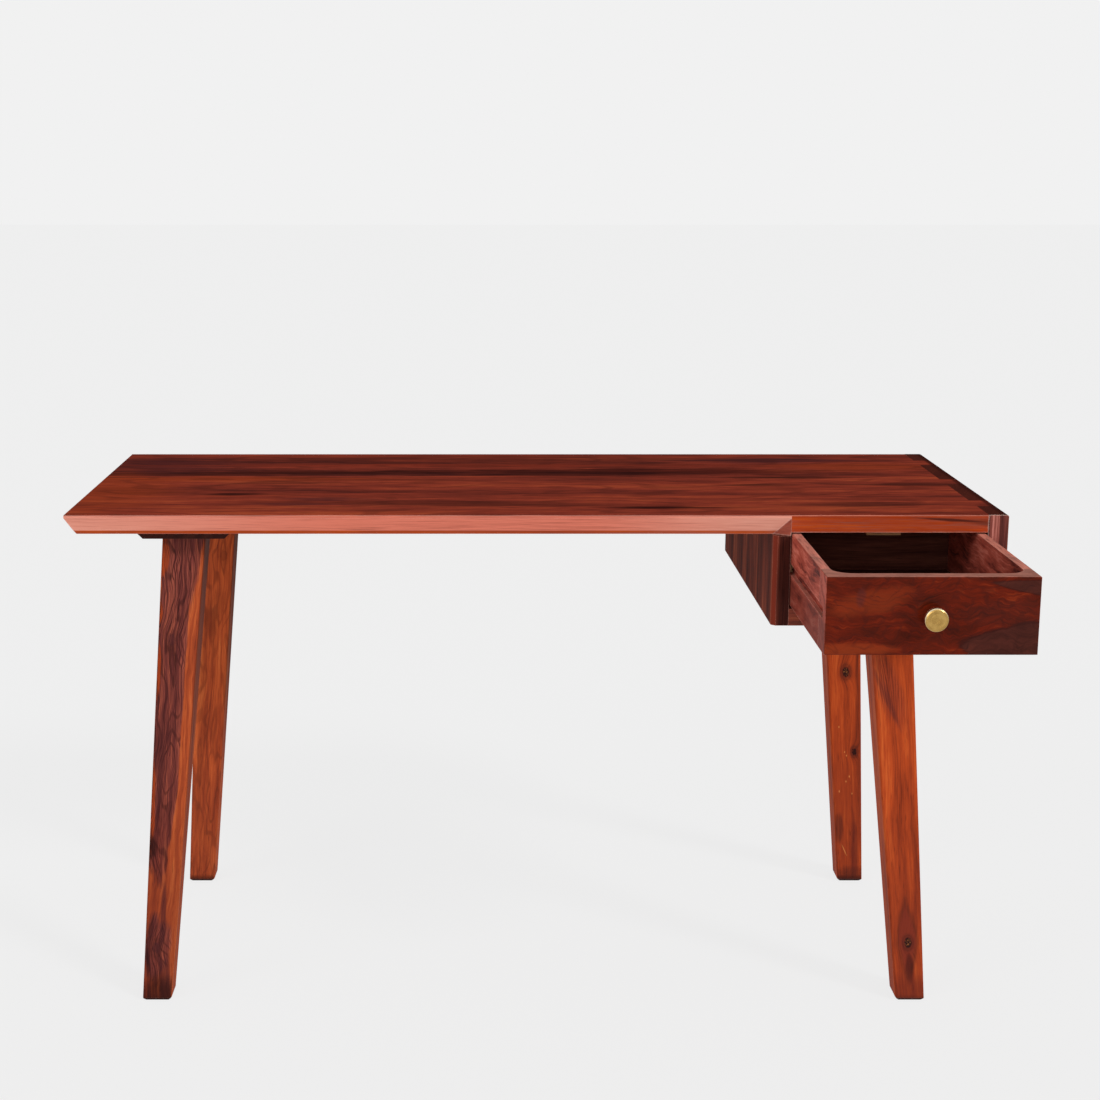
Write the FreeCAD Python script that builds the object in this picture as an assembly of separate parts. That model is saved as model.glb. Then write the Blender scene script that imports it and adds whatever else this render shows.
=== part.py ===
import FreeCAD, Part
import os

os.makedirs("parts", exist_ok=True)

V = FreeCAD.Vector

# Study table, millimetres: +Z up, drawer at the front (-Y) on the right (+X), shown pulled out.
# The origin is on the floor, under the middle of the whole object with its drawer out.

# Overall size
table_width = 1370.0
table_depth = 560.0
table_height = 762.0

# Desktop slab: under-bevel in two slopes on the front edge and the left end
top_thickness = 31.0
top_arris_radius = 2.0
top_corner_radius = 6.0
bevel_land = 5.0
bevel_knee_inset = 11.0
bevel_knee_drop = 25.0
bevel_inset = 15.0
bay_rebate = 5.0

# Drawer case under the right end of the desktop
case_height = 165.0
case_setback = 25.0
bay_width = 285.0
divider_thickness = 25.0
divider_chamfer = 6.0
end_panel_thickness = 31.0
end_panel_radius = 7.0
case_bottom_thickness = 25.0
case_back_thickness = 18.0
case_back_tongue = 6.0

# Through tenons of the desktop in the end panel, placed along the depth
tenon_width = 47.0
tenon_place_shares = (1 / 6, 1 / 2, 5 / 6)

# Drawer
drawer_open = 280.0
drawer_side_gap = 1.5
drawer_rim_gap = 2.5
drawer_base_gap = 5.5
drawer_back_gap = 47.0
drawer_front_thickness = 20.0
drawer_cove_radius = 27.0
drawer_return_land = 1.0
drawer_arris_radius = 2.0
drawer_side_thickness = 13.0
drawer_back_thickness = 13.0
drawer_back_inset = 10.0
drawer_back_housing = 4.0
drawer_bottom_thickness = 6.0
drawer_bottom_lift = 10.0
drawer_bottom_housing = 5.0
panel_clearance = 0.2

# Groove in each drawer side, and the runner it hangs on
groove_height = 16.0
groove_depth = 6.0
runner_height = 15.0
runner_seat_gap = 0.3
runner_side_gap = 0.5
runner_end_gap = 1.0
runner_back_gap = 6.0
runner_housing = 5.0

# Stop block that catches the drawer's back
stop_setback = 40.0
stop_width = 50.0
stop_depth = 18.0
stop_height = 12.0

# Legs: foot centres measured in from the edges of the desktop, splay given for the long left pair
foot_inset_x = 107.0
foot_inset_y = 36.0
leg_splay_x = 57.0
leg_splay_y = 54.0
leg_top_width = 64.0
leg_top_depth = 60.0
leg_foot_width = 44.0
leg_foot_depth = 46.0
leg_edge_radius = 4.0
leg_foot_chamfer = 5.0
leg_tenon_width = 36.0
leg_tenon_depth = 34.0
leg_tenon_height = 12.0

# Cleats between the legs and what they carry
cleat_width = 137.0
cleat_thickness = 16.0
cleat_chamfer = 8.0
cleat_margin = 3.0

# Knob, turned about its own axis
knob_diameter = 32.0
knob_projection = 25.0
knob_disc_thickness = 9.0
knob_rim_chamfer = 2.5
knob_base_diameter = 17.0
knob_base_height = 3.0
knob_neck_diameter = 11.0

# Knob screw, driven from inside the drawer
knob_screw_diameter = 4.0
knob_screw_grip = 9.0
knob_screw_head_diameter = 8.0
knob_screw_head_height = 2.6
screw_clearance = 0.3
thread_clearance = 0.1

# Wood screws with countersunk heads
stop_screw_diameter = 4.0
stop_screw_head = 8.0
stop_screw_length = 28.0
cleat_screw_diameter = 5.0
cleat_screw_head = 10.0
cleat_screw_length = 34.0
cleat_screw_spacing_x = 98.0
cleat_screw_spacing_y = 150.0
head_slope_share = 0.5

# Loose tenons, glued into a socket in each of the two pieces
slip_clearance = 0.1
case_slip_width = 60.0
case_slip_thickness = 10.0
case_slip_length = 36.0
case_slip_bite = 16.0
case_slip_inset = 80.0
case_slip_count = 3
drawer_slip_thickness = 4.0
drawer_slip_height = 12.0
drawer_slip_length = 24.0
drawer_slip_bite = 10.0

# One overrun serves every through cut
overrun = 5.0

# Places that follow from the sizes
whole_depth = table_depth + drawer_open + knob_projection
back_y = whole_depth / 2
front_y = back_y - table_depth
middle_y = front_y + table_depth / 2
right_x = table_width / 2
left_x = -right_x
top_underside = table_height - top_thickness
bay_ceiling = top_underside + bay_rebate
case_floor = table_height - case_height
bay_floor = case_floor + case_bottom_thickness
case_depth = table_depth - case_setback
case_back_y = front_y + case_depth
bay_back_y = case_back_y - case_back_thickness
bay_right = right_x - end_panel_thickness
bay_left = bay_right - bay_width
divider_left = bay_left - divider_thickness
bay_middle = (bay_left + bay_right) / 2

drawer_left = bay_left + drawer_side_gap
drawer_right = bay_right - drawer_side_gap
drawer_rim = bay_ceiling - drawer_rim_gap
drawer_base = bay_floor + drawer_base_gap
drawer_height = drawer_rim - drawer_base
drawer_mid_height = (drawer_rim + drawer_base) / 2
drawer_face = front_y - drawer_open
drawer_length = case_depth - case_back_thickness - drawer_back_gap
drawer_rear = drawer_face + drawer_length
drawer_inner_face = drawer_face + drawer_front_thickness
drawer_seam = drawer_inner_face + drawer_cove_radius + drawer_return_land
drawer_back_face = drawer_rear - drawer_back_inset - drawer_back_thickness
drawer_inner_left = drawer_left + drawer_side_thickness
drawer_inner_right = drawer_right - drawer_side_thickness
bottom_low = drawer_base + drawer_bottom_lift
bottom_high = bottom_low + drawer_bottom_thickness
groove_top = drawer_mid_height + groove_height / 2
groove_base = groove_top - groove_height

runner_top = groove_top - runner_seat_gap
runner_base = runner_top - runner_height
runner_width = drawer_side_gap + groove_depth - runner_side_gap
runner_front = front_y + drawer_front_thickness + runner_end_gap
runner_back = bay_back_y - runner_back_gap

stop_front = front_y + stop_setback
stop_back = stop_front + stop_depth
stop_base = bay_ceiling - stop_height

left_leg_height = top_underside - cleat_thickness
right_leg_height = case_floor - cleat_thickness
foot_x = right_x - foot_inset_x
foot_y = table_depth / 2 - foot_inset_y


def block(x0, x1, y0, y1, z0, z1):
    """A box between two corners."""
    return Part.makeBox(x1 - x0, y1 - y0, z1 - z0, V(x0, y0, z0))


def prism(points, sweep):
    """A closed outline of points pulled along a vector."""
    return Part.Face(Part.makePolygon(list(points) + [points[0]])).extrude(sweep)


def tapered(foot, foot_width, foot_depth, top, top_width, top_depth):
    """An upright solid with flat sides between a level rectangle at its foot and one at its top."""
    solid = Part.makeWedge(
        foot.x - foot_width / 2,
        foot.z,
        -foot.y - foot_depth / 2,
        -top.y - top_depth / 2,
        top.x - top_width / 2,
        foot.x + foot_width / 2,
        top.z,
        -foot.y + foot_depth / 2,
        -top.y + top_depth / 2,
        top.x + top_width / 2,
    )
    solid.rotate(V(0, 0, 0), V(1, 0, 0), 90)
    return solid


def rod(diameter, length, start, direction):
    """A plain cylinder that starts at a point."""
    return Part.makeCylinder(diameter / 2, length, start, direction)


def turned(profile, start, direction):
    """A profile of (radius, height) points turned about an axis through a point."""
    points = [V(radius, 0, height) for radius, height in profile]
    face = Part.Face(Part.makePolygon(points + [points[0]]))
    solid = face.revolve(V(0, 0, 0), V(0, 0, 1), 360)
    solid.Placement = FreeCAD.Placement(start, FreeCAD.Rotation(V(0, 0, 1), direction))
    return solid


def edges_where(shape, test):
    """Edges of a shape whose centre and direction pass a test."""
    found = []
    for edge in shape.Edges:
        ends = [vertex.Point for vertex in edge.Vertexes]
        if len(ends) == 2 and test(edge.CenterOfMass, ends[1] - ends[0]):
            found.append(edge)
    return found


def near(a, b):
    """Whether two coordinates are the same place."""
    return abs(a - b) < 1e-6 * table_width


def save(name, solids):
    """Write one node, a single piece or a group of like pieces."""
    shape = solids[0] if len(solids) == 1 else Part.makeCompound(solids)
    shape.exportStep("parts/" + name + ".step")


# Fasteners and loose tenons: each kind gives its solids and the holes that they need


def wood_screw(diameter, head, length, start, direction, room=0):
    """Countersunk screw whose head lies flush at the start point, or its hole with room all round."""
    radius = diameter / 2 + room
    head_height = (head - diameter) * head_slope_share
    profile = [
        (0, 0),
        (head / 2 + room, 0),
        (radius, head_height),
        (radius, length + room),
        (0, length + room),
    ]
    return turned(profile, start, direction)


def wood_screws(size, places):
    """Screws at their places, each a start point and a direction."""
    return [wood_screw(*size, *place) for place in places]


def wood_screw_holes(size, places):
    """Holes of those screws, wider all round by the clearance."""
    return [wood_screw(*size, *place, slip_clearance) for place in places]


def slip(centre, size, room=0):
    """Flat loose tenon centred on a point, or its socket with room all round."""
    grown = size + V(2 * room, 2 * room, 2 * room)
    return Part.makeBox(grown.x, grown.y, grown.z, centre - grown * 0.5)


def slips(size, places):
    """Loose tenons at their places."""
    return [slip(place, size) for place in places]


def slip_sockets(size, places):
    """Sockets of those loose tenons."""
    return [slip(place, size, slip_clearance) for place in places]


def spread(low, high, count):
    """Evenly spaced places from low to high."""
    step = (high - low) / (count - 1)
    return [low + step * index for index in range(count)]


along_x = V(1, 0, 0)
along_y = V(0, 1, 0)
up = V(0, 0, 1)

# Loose tenons of the drawer case: divider up into the desktop, bottom sideways into both walls
case_slip_ys = spread(front_y + case_slip_inset, bay_back_y - case_slip_inset, case_slip_count)
divider_slip_size = V(case_slip_thickness, case_slip_width, case_slip_length)
divider_slip_z = top_underside + case_slip_bite - case_slip_length / 2
divider_slip_places = [V((divider_left + bay_left) / 2, y, divider_slip_z) for y in case_slip_ys]
bottom_slip_size = V(case_slip_length, case_slip_width, case_slip_thickness)
bottom_slip_reach = case_slip_length / 2 - case_slip_bite
bottom_slip_places = [
    V(x, y, (case_floor + bay_floor) / 2)
    for x in (bay_left + bottom_slip_reach, bay_right - bottom_slip_reach)
    for y in case_slip_ys
]
divider_sockets = slip_sockets(divider_slip_size, divider_slip_places)
bottom_sockets = slip_sockets(bottom_slip_size, bottom_slip_places)

# One screw holds the stop up, so that it can be turned aside to take the drawer out
stop_screw_size = (stop_screw_diameter, stop_screw_head, stop_screw_length)
stop_screw_places = [(V(bay_middle, (stop_front + stop_back) / 2, stop_base), up)]
stop_screw_holes = wood_screw_holes(stop_screw_size, stop_screw_places)


class LegPair:
    """The two legs at one end, the cleat that they stand under, and what holds them."""

    def __init__(self, side, leg_height):
        self.side = side
        self.leg_height = leg_height
        run = leg_height / left_leg_height
        self.top_x = side * (foot_x - leg_splay_x * run)
        self.top_y = foot_y - leg_splay_y * run
        self.cleat_top = leg_height + cleat_thickness
        self.leg_tops = {end: V(self.top_x, middle_y + end * self.top_y, leg_height) for end in (-1, 1)}
        self.screw_size = (cleat_screw_diameter, cleat_screw_head, cleat_screw_length)
        self.screw_places = [
            (V(self.top_x + i * cleat_screw_spacing_x / 2, middle_y + j * cleat_screw_spacing_y / 2, leg_height), up)
            for i in (-1, 1)
            for j in (-1, 1)
        ]
        self.screw_holes = wood_screw_holes(self.screw_size, self.screw_places)

    def tenon(self, end, room=0):
        """Stub tenon on top of a leg, or its mortise in the cleat with room all round."""
        top = self.leg_tops[end]
        width = leg_tenon_width / 2 + room
        depth = leg_tenon_depth / 2 + room
        head = top.z + leg_tenon_height + room
        return block(top.x - width, top.x + width, top.y - depth, top.y + depth, top.z, head)

    def leg(self, end):
        """A tapered leg, splayed both ways, with eased long edges, a chamfered foot and a stub tenon."""
        top = self.leg_tops[end]
        foot = V(self.side * foot_x, middle_y + end * foot_y, 0)
        solid = tapered(foot, leg_foot_width, leg_foot_depth, top, leg_top_width, leg_top_depth)
        rise = self.leg_height / 2
        solid = solid.makeFillet(leg_edge_radius, edges_where(solid, lambda c, d: abs(d.z) > rise))
        narrowing = 2 * leg_foot_chamfer
        flare = 2 * self.leg_height - narrowing
        eased_foot = tapered(
            foot,
            leg_foot_width - narrowing,
            leg_foot_depth - narrowing,
            foot + V(0, 0, self.leg_height),
            leg_foot_width + flare,
            leg_foot_depth + flare,
        )
        return solid.common(eased_foot).fuse(self.tenon(end))

    def cleat(self):
        """Flat board between the legs and what they carry, its long lower edges chamfered."""
        half_length = self.top_y + leg_top_depth / 2 + cleat_margin
        outer = cleat_width / 2
        inner = outer - cleat_chamfer
        outline = [
            V(self.top_x - inner, middle_y - half_length, self.leg_height),
            V(self.top_x + inner, middle_y - half_length, self.leg_height),
            V(self.top_x + outer, middle_y - half_length, self.leg_height + cleat_chamfer),
            V(self.top_x + outer, middle_y - half_length, self.cleat_top),
            V(self.top_x - outer, middle_y - half_length, self.cleat_top),
            V(self.top_x - outer, middle_y - half_length, self.leg_height + cleat_chamfer),
        ]
        board = prism(outline, V(0, 2 * half_length, 0))
        mortises = [self.tenon(end, slip_clearance) for end in self.leg_tops]
        return board.cut(mortises + self.screw_holes)


left_pair = LegPair(-1, left_leg_height)
right_pair = LegPair(1, right_leg_height)


# Desktop and drawer case


def tenon_span(share):
    """Front and back of one through tenon."""
    centre = front_y + share * table_depth
    return centre - tenon_width / 2, centre + tenon_width / 2


def corner_round():
    """What is cut away to round the outer top corner that desktop and end panel share."""
    start = V(right_x - top_corner_radius, front_y - overrun, table_height - top_corner_radius)
    length = table_depth + 2 * overrun
    bar = Part.makeBox(top_corner_radius + overrun, length, top_corner_radius + overrun, start)
    return bar.cut(Part.makeCylinder(top_corner_radius, length, start, along_y))


def bevel_outline(inward, origin):
    """Section under the bevelled edge, drawn down and in from a point on the top arris."""
    out = V(inward)
    out.multiply(-overrun)
    knee = V(inward)
    knee.multiply(bevel_knee_inset)
    heel = V(inward)
    heel.multiply(bevel_inset)
    return [
        origin + V(0, 0, -bevel_land),
        origin + knee + V(0, 0, -bevel_knee_drop),
        origin + heel + V(0, 0, -top_thickness),
        origin + heel + V(0, 0, -top_thickness - overrun),
        origin + out + V(0, 0, -top_thickness - overrun),
        origin + out + V(0, 0, -bevel_land),
    ]


def desktop():
    """Slab with bevelled front and left edges, a rebate over the drawer and three through tenons."""
    slab = block(left_x, bay_right, front_y, back_y, top_underside, table_height)
    rim_edges = edges_where(
        slab,
        lambda c, d: near(c.z, table_height) and (near(c.x, left_x) or near(c.y, front_y) or near(c.y, back_y)),
    )
    slab = slab.makeFillet(top_arris_radius, rim_edges)

    front_start = V(left_x - overrun, front_y, table_height)
    front_bevel = prism(bevel_outline(along_y, front_start), V(bay_left - left_x + 2 * overrun, 0, 0))
    slant = divider_thickness / bevel_inset
    stop_plan = [
        V(left_x - 2 * overrun, front_y - 2 * overrun, 0),
        V(bay_left + slant * 2 * overrun, front_y - 2 * overrun, 0),
        V(bay_left, front_y, 0),
        V(divider_left, front_y + bevel_inset, 0),
        V(left_x - 2 * overrun, front_y + bevel_inset, 0),
    ]
    front_bevel = front_bevel.common(prism(stop_plan, V(0, 0, table_height)))
    left_start = V(left_x, front_y - overrun, table_height)
    left_bevel = prism(bevel_outline(along_x, left_start), V(0, table_depth + 2 * overrun, 0))
    rebate = block(bay_left, bay_right, front_y - overrun, case_back_y, top_underside - overrun, bay_ceiling)
    slab = slab.cut([front_bevel, left_bevel, rebate])

    tenons = []
    for share in tenon_place_shares:
        start, end = tenon_span(share)
        tenons.append(block(bay_right, right_x, start, end, top_underside, table_height))
    slab = slab.fuse(tenons).removeSplitter()
    return slab.cut([corner_round()] + divider_sockets + stop_screw_holes + left_pair.screw_holes)


def back_tongues(room):
    """The stretch of the case back that its tongues span, with room round it."""
    return block(
        bay_left - case_back_tongue - room,
        bay_right + case_back_tongue + room,
        bay_back_y - room,
        case_back_y + room,
        bay_floor,
        top_underside,
    )


def back_housing():
    """Housings in the two case walls for the tongues of the back, open behind."""
    return back_tongues(slip_clearance)


def end_panel():
    """Right wall of the drawer case, notched at the top for the desktop's tenons."""
    panel = block(bay_right, right_x, front_y, back_y, case_floor, table_height)
    outer = edges_where(
        panel,
        lambda c, d: near(c.x, right_x) and abs(d.z) > case_height / 2,
    )
    panel = panel.makeFillet(end_panel_radius, outer)
    notches = []
    for share in tenon_place_shares:
        start, end = tenon_span(share)
        notches.append(
            block(bay_right - overrun, right_x + overrun, start, end, top_underside, table_height + overrun)
        )
    return panel.cut(notches + [corner_round(), back_housing(), runner(1, slip_clearance)] + bottom_sockets)


def divider_panel():
    """Left wall of the drawer case, its front outer arris chamfered."""
    panel = block(divider_left, bay_left, front_y, case_back_y, case_floor, top_underside)
    arris = edges_where(
        panel,
        lambda c, d: near(c.x, divider_left) and near(c.y, front_y),
    )
    panel = panel.makeChamfer(divider_chamfer, arris)
    return panel.cut([back_housing(), runner(-1, slip_clearance)] + divider_sockets + bottom_sockets)


def case_bottom():
    """Floor of the drawer case between its two walls."""
    panel = block(bay_left, bay_right, front_y, case_back_y, case_floor, bay_floor)
    return panel.cut(bottom_sockets + right_pair.screw_holes)


def case_back():
    """Back of the drawer case, up into the rebate, with a tongue at each end in the walls' housings."""
    panel = block(bay_left, bay_right, bay_back_y, case_back_y, bay_floor, bay_ceiling)
    return panel.fuse(back_tongues(0)).removeSplitter()


def runner(side, room=0):
    """Strip that the drawer's groove slides on, let into a case wall, or its housing with room all round."""
    wall = bay_left if side < 0 else bay_right
    inner = wall - side * runner_width
    root = wall + side * (runner_housing + room)
    return block(
        min(root, inner),
        max(root, inner),
        runner_front - room,
        runner_back + room,
        runner_base - room,
        runner_top + room,
    )


def drawer_stop():
    """Block under the desktop that the drawer's back meets when it is pulled right out."""
    left = bay_middle - stop_width / 2
    solid = block(left, left + stop_width, stop_front, stop_back, stop_base, bay_ceiling)
    return solid.cut(stop_screw_holes)


# Drawer

drawer_slip_size = V(drawer_slip_thickness, drawer_slip_length, drawer_slip_height)
drawer_slip_y = drawer_seam - drawer_slip_bite + drawer_slip_length / 2
drawer_slip_places = [
    V(x, drawer_slip_y, z)
    for x in (drawer_left + drawer_side_thickness / 2, drawer_right - drawer_side_thickness / 2)
    for z in ((groove_base + bottom_high) / 2, (groove_top + drawer_rim) / 2)
]
drawer_sockets = slip_sockets(drawer_slip_size, drawer_slip_places)


def bottom_outline(grow, low, high):
    """The drawer bottom's board, let into the front and sides, its front corners following the coves."""
    housing = drawer_bottom_housing + grow
    board = block(
        drawer_inner_left - housing,
        drawer_inner_right + housing,
        drawer_inner_face - housing,
        drawer_rear + grow,
        low - grow,
        high + grow,
    )
    front = edges_where(board, lambda c, d: near(c.y, drawer_inner_face - housing) and abs(d.z) > abs(d.x))
    return board.makeFillet(drawer_cove_radius + housing, front)


def groove(side):
    """The slot in a drawer side that the runner lies in, stopped behind the front."""
    outer = drawer_left if side < 0 else drawer_right
    floor = outer - side * groove_depth
    skin = outer + side * overrun
    return block(
        min(skin, floor), max(skin, floor), drawer_inner_face, drawer_rear + overrun, groove_base, groove_top
    )


def drawer_front():
    """Front cut from thick stock, scooped behind so that coves lead into its two short returns."""
    solid = block(drawer_left, drawer_right, drawer_face, drawer_seam, drawer_base, drawer_rim)
    seam = drawer_seam
    eased = edges_where(
        solid,
        lambda c, d: near(c.y, drawer_face) or (near(c.z, drawer_rim) and not near(c.y, seam)),
    )
    solid = solid.makeFillet(drawer_arris_radius, eased)
    scoop = block(
        drawer_inner_left,
        drawer_inner_right,
        drawer_inner_face,
        drawer_seam + drawer_cove_radius,
        drawer_base - overrun,
        drawer_rim + overrun,
    )
    coves = edges_where(scoop, lambda c, d: near(c.y, drawer_inner_face) and abs(d.z) > drawer_height / 2)
    scoop = scoop.makeFillet(drawer_cove_radius, coves)
    knob_hole = rod(
        knob_screw_diameter + 2 * screw_clearance,
        drawer_front_thickness + 2 * overrun,
        V(bay_middle, drawer_face - overrun, drawer_mid_height),
        along_y,
    )
    slot = bottom_outline(panel_clearance, bottom_low, bottom_high)
    return solid.cut([scoop, knob_hole, slot, groove(-1), groove(1)] + drawer_sockets)


def drawer_side(side):
    """Drawer side with the runner groove outside and the bottom's groove inside."""
    outer = drawer_left if side < 0 else drawer_right
    inner = outer - side * drawer_side_thickness
    board = block(min(outer, inner), max(outer, inner), drawer_seam, drawer_rear, drawer_base, drawer_rim)
    eased = edges_where(board, lambda c, d: near(c.x, outer) and near(c.z, drawer_rim))
    board = board.makeFillet(drawer_arris_radius, eased)
    slot = bottom_outline(panel_clearance, bottom_low, bottom_high)
    return board.cut([groove(side), slot, drawer_back_outline(panel_clearance)] + drawer_sockets)


def drawer_back_outline(room):
    """The drawer back's board, housed in both sides and standing on the bottom, with room at its housings."""
    return block(
        drawer_inner_left - drawer_back_housing - room,
        drawer_inner_right + drawer_back_housing + room,
        drawer_back_face - room,
        drawer_back_face + drawer_back_thickness + room,
        bottom_high,
        drawer_rim,
    )


def knob():
    """Turned disc with a chamfered rim, on a neck that stands on a round foot."""
    disc = knob_diameter / 2
    neck = knob_neck_diameter / 2
    base = knob_base_diameter / 2
    disc_back = knob_projection - knob_disc_thickness
    profile = [
        (0, 0),
        (base, 0),
        (base, knob_base_height),
        (neck, knob_base_height),
        (neck, disc_back),
        (disc, disc_back),
        (disc, knob_projection - knob_rim_chamfer),
        (disc - knob_rim_chamfer, knob_projection),
        (0, knob_projection),
    ]
    start = V(bay_middle, drawer_face, drawer_mid_height)
    width = knob_screw_diameter + 2 * thread_clearance
    thread = rod(width, knob_screw_grip + thread_clearance, start, -along_y)
    return turned(profile, start, -along_y).cut(thread)


def knob_screw():
    """Cheese-head screw from inside the drawer into the knob."""
    start = V(bay_middle, drawer_inner_face, drawer_mid_height)
    head = rod(knob_screw_head_diameter, knob_screw_head_height, start, along_y)
    return head.fuse(rod(knob_screw_diameter, drawer_front_thickness + knob_screw_grip, start, -along_y))


save("desktop", [desktop()])
save("end_panel", [end_panel()])
save("divider_panel", [divider_panel()])
save("carcass_bottom", [case_bottom()])
save("carcass_back", [case_back()])
save("runner_left", [runner(-1)])
save("runner_right", [runner(1)])
save("drawer_stop", [drawer_stop()])
save("drawer_stop_screw", wood_screws(stop_screw_size, stop_screw_places))
save("divider_tenons", slips(divider_slip_size, divider_slip_places))
save("carcass_bottom_tenons", slips(bottom_slip_size, bottom_slip_places))

save("drawer_front", [drawer_front()])
save("drawer_side_left", [drawer_side(-1)])
save("drawer_side_right", [drawer_side(1)])
save("drawer_back", [drawer_back_outline(0)])
save("drawer_bottom", [bottom_outline(0, bottom_low, bottom_high)])
save("drawer_front_tenons", slips(drawer_slip_size, drawer_slip_places))
save("knob", [knob()])
save("knob_screw", [knob_screw()])

cleat_screws = []
for place, pair in (("left", left_pair), ("right", right_pair)):
    save("leg_front_" + place, [pair.leg(-1)])
    save("leg_back_" + place, [pair.leg(1)])
    save("leg_cleat_" + place, [pair.cleat()])
    cleat_screws += wood_screws(pair.screw_size, pair.screw_places)
save("cleat_screws", cleat_screws)
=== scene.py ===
"""Study table in red-stained sheesham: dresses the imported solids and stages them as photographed."""

from __future__ import annotations

import logging
import math
from dataclasses import dataclass, field
from enum import Enum
from typing import Any, Union

import bmesh
import bpy
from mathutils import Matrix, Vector

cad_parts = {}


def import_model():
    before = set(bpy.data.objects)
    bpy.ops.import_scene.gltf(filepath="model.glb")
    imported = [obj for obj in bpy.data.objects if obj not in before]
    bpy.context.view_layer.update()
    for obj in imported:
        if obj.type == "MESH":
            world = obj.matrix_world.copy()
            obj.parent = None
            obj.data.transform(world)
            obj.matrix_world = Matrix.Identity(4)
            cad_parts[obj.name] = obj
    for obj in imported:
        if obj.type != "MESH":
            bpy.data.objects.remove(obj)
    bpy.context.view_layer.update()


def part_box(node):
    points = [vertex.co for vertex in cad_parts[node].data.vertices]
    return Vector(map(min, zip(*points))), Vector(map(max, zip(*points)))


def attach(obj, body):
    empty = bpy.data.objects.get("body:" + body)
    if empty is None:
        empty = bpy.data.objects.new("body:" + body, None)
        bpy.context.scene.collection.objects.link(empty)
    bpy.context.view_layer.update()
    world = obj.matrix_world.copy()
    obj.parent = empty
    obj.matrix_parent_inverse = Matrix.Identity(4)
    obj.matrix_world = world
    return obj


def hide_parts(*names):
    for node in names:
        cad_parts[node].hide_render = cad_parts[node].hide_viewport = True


LOG = logging.getLogger("study_table")
Value = Union["Sock", float, tuple]
Colour = tuple[float, float, float, float]
Point = tuple[float, float, float]
Span = tuple[float, float]

ORIGIN: Point = (0.0, 0.0, 0.0)
X_AXIS: Point = (1.0, 0.0, 0.0)
Y_AXIS: Point = (0.0, 1.0, 0.0)
Z_AXIS: Point = (0.0, 0.0, 1.0)
FRONT: Point = (0.0, -1.0, 0.0)
SIDES: tuple[Point, Point] = ((-1.0, 0.0, 0.0), X_AXIS)

# A place past every piece, for a tint without a limit
FAR = 9.0

# Middle of the noises and of the boards' shades
MIDDLE = 0.5

# Standard curve from the steps of a screen colour to linear light
LAST_STEP = 255
DARK_LIMIT, DARK_SLOPE = 0.04045, 12.92
CURVE_OFFSET, CURVE_POWER = 0.055, 2.4


def srgb(red: int, green: int, blue: int) -> Colour:
    """A colour as it shows on screen, given in eight-bit steps, as linear light.

    Args:
        red: Red step, 0 to 255.
        green: Green step, 0 to 255.
        blue: Blue step, 0 to 255.

    Returns:
        The linear colour with full alpha.
    """
    linear = []
    for step in (red, green, blue):
        share = step / LAST_STEP
        bright = ((share + CURVE_OFFSET) / (1 + CURVE_OFFSET)) ** CURVE_POWER
        linear.append(share / DARK_SLOPE if share <= DARK_LIMIT else bright)
    return (linear[0], linear[1], linear[2], 1.0)


class Tone(Enum):
    """Stains and woods that the table shows, and the tones of its painted reflections, highlights and shade.
    """

    ORANGE = srgb(156, 62, 28)
    RED = srgb(122, 46, 32)
    CLARET = srgb(96, 36, 27)
    UMBER = srgb(70, 31, 25)
    HEART = srgb(70, 34, 36)
    INK = srgb(36, 16, 16)
    ROSE = srgb(222, 124, 102)
    BLUSH = srgb(232, 164, 144)
    CHALK = srgb(236, 206, 192)
    SPECK = srgb(214, 134, 74)
    COCOA = srgb(46, 20, 17)
    DUSK = srgb(158, 84, 68)


class Palette(Enum):
    """Four tones of one wood, from its darkest grain to its palest."""

    TOP = (srgb(68, 31, 28), srgb(108, 44, 34), srgb(138, 55, 40), srgb(166, 74, 46))
    STRIP = (srgb(96, 33, 15), srgb(134, 45, 18), srgb(160, 56, 22), srgb(184, 78, 33))
    LEG = (srgb(98, 36, 20), srgb(145, 55, 26), srgb(175, 69, 30), srgb(198, 92, 42))
    LEG_BROWN = (srgb(88, 38, 27), srgb(138, 58, 34), srgb(168, 75, 40), srgb(192, 97, 52))
    LEG_PALE = (srgb(96, 42, 29), srgb(154, 66, 38), srgb(186, 85, 45), srgb(208, 108, 58))
    BURR = (srgb(48, 16, 9), srgb(75, 22, 10), srgb(98, 27, 11), srgb(136, 49, 19))
    MOUND = (srgb(42, 18, 15), srgb(62, 28, 22), srgb(74, 34, 27), srgb(92, 40, 29))
    HEART = (srgb(44, 20, 22), srgb(79, 36, 35), srgb(116, 55, 48), srgb(158, 82, 65))
    EDGE = (srgb(130, 46, 18), srgb(166, 64, 26), srgb(192, 81, 33), srgb(214, 108, 52))
    CASE = (srgb(60, 29, 26), srgb(94, 45, 36), srgb(126, 59, 43), srgb(160, 85, 57))
    STAVE = (srgb(62, 28, 26), srgb(94, 46, 41), srgb(134, 70, 60), srgb(186, 116, 104))
    SIDE = (srgb(84, 40, 37), srgb(146, 66, 54), srgb(180, 85, 69), srgb(206, 114, 96))
    INNER = (srgb(52, 26, 23), srgb(74, 40, 33), srgb(94, 52, 42), srgb(116, 68, 54))
    DARK = (srgb(40, 17, 14), srgb(56, 25, 20), srgb(76, 36, 28), srgb(94, 46, 34))
    BARE = (srgb(140, 98, 66), srgb(164, 118, 82), srgb(188, 142, 102), srgb(206, 164, 122))


class Alloy(Enum):
    """A metal's bright tone and its tarnished one."""

    BRASS = (srgb(212, 176, 106), srgb(150, 112, 54))
    ZINC = (srgb(176, 176, 178), srgb(120, 120, 122))


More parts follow.
